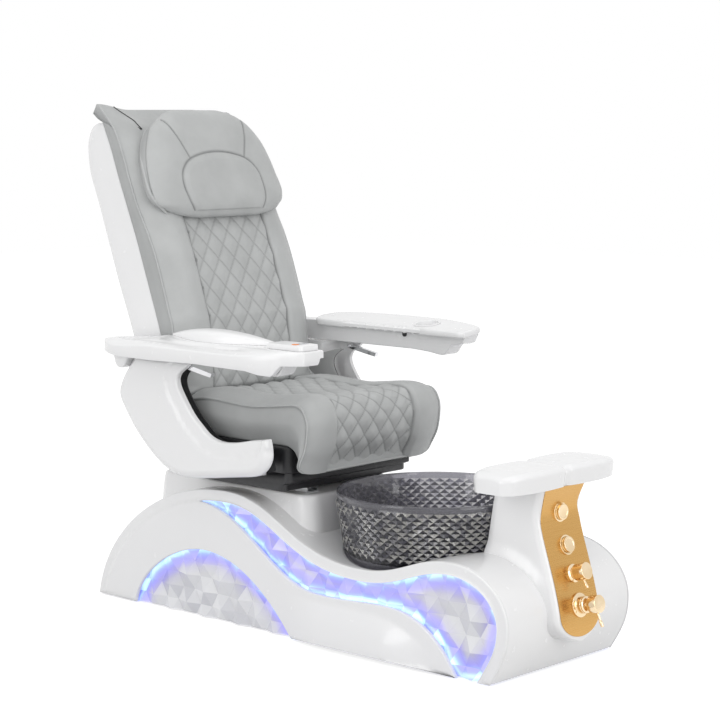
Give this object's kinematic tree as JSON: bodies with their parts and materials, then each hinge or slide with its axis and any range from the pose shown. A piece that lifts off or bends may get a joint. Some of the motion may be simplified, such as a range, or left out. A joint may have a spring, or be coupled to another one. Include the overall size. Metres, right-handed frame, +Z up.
{
  "type": "pedicure spa chair",
  "caption": "Pedicure chair on a wave-sided base with a cut-glass foot bowl, a console with taps and buttons, and a sliding, reclining massage seat with lifting arms.",
  "frame": {"origin": "on the floor, under the middle of the chair's outline", "axes": "+X the way the sitter faces, +Y the sitter's left, +Z up"},
  "size_m": [1.5806, 0.772, 1.3429],
  "materials": {
    "white_gloss_shell": "high gloss",
    "white_satin_plastic": "satin",
    "black_plastic": "matt",
    "grey_leather": "soft synthetic leather",
    "smoked_crystal": "cut and polished",
    "brushed_gold": "brushed gold plate",
    "polished_pale_gold": "polished plate",
    "chrome": "polished",
    "zinc_plated_steel": "zinc plated",
    "black_painted_steel": "satin black",
    "light_acrylic": "lit from behind",
    "brass": "turned",
    "plywood": "plain",
    "screen": "gloss",
    "orange_key": "satin",
    "grey_key": "satin"
  },
  "bodies": {
    "base": {"base_frame": "black_painted_steel", "base_shell": "white_gloss_shell", "side_cover_right": "white_gloss_shell", "side_cover_left": "white_gloss_shell", "wave_light_right": "light_acrylic", "wave_light_left": "light_acrylic", "arch_light_right": "light_acrylic", "arch_light_left": "light_acrylic", "seat_riser": "white_gloss_shell", "slide_rail_right": "zinc_plated_steel", "slide_rail_left": "zinc_plated_steel", "foot_bowl": "smoked_crystal", "bowl_drain": "chrome", "drain_pump": "black_plastic", "power_unit": "black_plastic", "console_column": "white_gloss_shell", "waterfall_spout": "chrome", "control_plate": "brushed_gold", "light_button_bezel": "polished_pale_gold", "pump_button_bezel": "polished_pale_gold", "diverter_valve": "polished_pale_gold", "mixer_body": "polished_pale_gold", "footrest": "white_gloss_shell"},
    "light_button": {"light_button": "polished_pale_gold"},
    "pump_button": {"pump_button": "polished_pale_gold"},
    "diverter": {"diverter_knob": "polished_pale_gold"},
    "mixer_cartridge": {"mixer_cartridge": "brass"},
    "mixer_handle": {"mixer_handle": "polished_pale_gold"},
    "stopper": {"drain_stopper": "chrome"},
    "seat": {"slide_carriage": "zinc_plated_steel", "seat_frame": "black_painted_steel", "seat_skirt": "black_plastic", "seat_board": "plywood", "seat_cushion": "grey_leather", "arm_cover_right": "white_gloss_shell", "arm_cover_left": "white_gloss_shell", "arm_panel_right": "black_plastic", "arm_panel_left": "black_plastic", "arm_upright_right": "black_painted_steel", "arm_upright_left": "black_painted_steel"},
    "back": {"back_frame": "black_painted_steel", "back_shell": "white_gloss_shell", "back_cushion": "grey_leather", "head_pillow": "grey_leather"},
    "massage_carriage": {"massage_carriage": "black_plastic"},
    "massage_rollers": {"massage_rollers": "black_plastic"},
    "arm_right": {"arm_beam_right": "white_gloss_shell", "arm_tray_right": "white_gloss_shell", "arm_pad_right": "white_satin_plastic", "remote_housing": "white_satin_plastic", "remote_screen": "screen"},
    "arm_left": {"arm_beam_left": "white_gloss_shell", "arm_tray_left": "white_gloss_shell", "cup_liner": "white_satin_plastic"},
    "latch_right": {"latch_lever_right": "chrome"},
    "latch_left": {"latch_lever_left": "chrome"},
    "key_1": {"remote_key_1": "orange_key"},
    "key_2": {"remote_key_2": "grey_key"},
    "key_3": {"remote_key_3": "grey_key"}
  },
  "joints": [
    {"name": "seat_slide", "type": "slide", "parent": "base", "child": "seat", "axis": [1, 0, 0], "range_m": [-0.1, 0.05]},
    {"name": "back_recline", "type": "hinge", "parent": "seat", "child": "back", "pos_m": [-0.425, 0, 0.5], "axis": [0, -1, 0], "range_deg": [0, 30]},
    {"name": "massage_lift", "type": "slide", "parent": "back", "child": "massage_carriage", "axis": [-0.3611, 0, 0.9325], "range_m": [0, 0.25]},
    {"name": "massage_roll", "type": "hinge", "parent": "massage_carriage", "child": "massage_rollers", "pos_m": [-0.54718, 0, 0.80441], "axis": [0, 1, 0], "continuous": true},
    {"name": "arm_lift_right", "type": "hinge", "parent": "seat", "child": "arm_right", "pos_m": [-0.535, -0.31, 0.684], "axis": [0, -1, 0], "range_deg": [0, 70]},
    {"name": "arm_lift_left", "type": "hinge", "parent": "seat", "child": "arm_left", "pos_m": [-0.535, 0.31, 0.684], "axis": [0, -1, 0], "range_deg": [0, 70]},
    {"name": "latch_right", "type": "hinge", "parent": "arm_right", "child": "latch_right", "pos_m": [-0.31, -0.311, 0.683], "axis": [0, 1, 0], "range_deg": [0, 15], "stiffness_Nm_per_rad": 1.5, "springref_deg": -8.59},
    {"name": "latch_left", "type": "hinge", "parent": "arm_left", "child": "latch_left", "pos_m": [-0.31, 0.311, 0.683], "axis": [0, 1, 0], "range_deg": [0, 15], "stiffness_Nm_per_rad": 1.5, "springref_deg": -8.59},
    {"name": "light_button_press", "type": "slide", "parent": "base", "child": "light_button", "axis": [-0.9964, 0, -0.0847], "range_m": [0, 0.004], "stiffness_N_per_m": 500, "springref_m": -0.004},
    {"name": "pump_button_press", "type": "slide", "parent": "base", "child": "pump_button", "axis": [-0.9507, 0, -0.3101], "range_m": [0, 0.004], "stiffness_N_per_m": 500, "springref_m": -0.004},
    {"name": "diverter_turn", "type": "hinge", "parent": "base", "child": "diverter", "pos_m": [0.70797, 0, 0.24075], "axis": [0.9574, 0, 0.2887], "range_deg": [0, 90]},
    {"name": "mixer_temperature", "type": "hinge", "parent": "base", "child": "mixer_cartridge", "pos_m": [0.72739, 0, 0.16656], "axis": [0.9767, 0, 0.2148], "range_deg": [-45, 45]},
    {"name": "mixer_flow", "type": "hinge", "parent": "mixer_cartridge", "child": "mixer_handle", "pos_m": [0.75669, 0, 0.173], "axis": [0, -1, 0], "range_deg": [0, 20]},
    {"name": "stopper_lift", "type": "slide", "parent": "base", "child": "stopper", "axis": [0, 0, 1], "range_m": [0, 0.012]},
    {"name": "key_1_press", "type": "slide", "parent": "arm_right", "child": "key_1", "axis": [0, 0, -1], "range_m": [0, 0.0012], "stiffness_N_per_m": 300, "springref_m": -0.002},
    {"name": "key_2_press", "type": "slide", "parent": "arm_right", "child": "key_2", "axis": [0, 0, -1], "range_m": [0, 0.0012], "stiffness_N_per_m": 300, "springref_m": -0.002},
    {"name": "key_3_press", "type": "slide", "parent": "arm_right", "child": "key_3", "axis": [0, 0, -1], "range_m": [0, 0.0012], "stiffness_N_per_m": 300, "springref_m": -0.002}
  ]
}
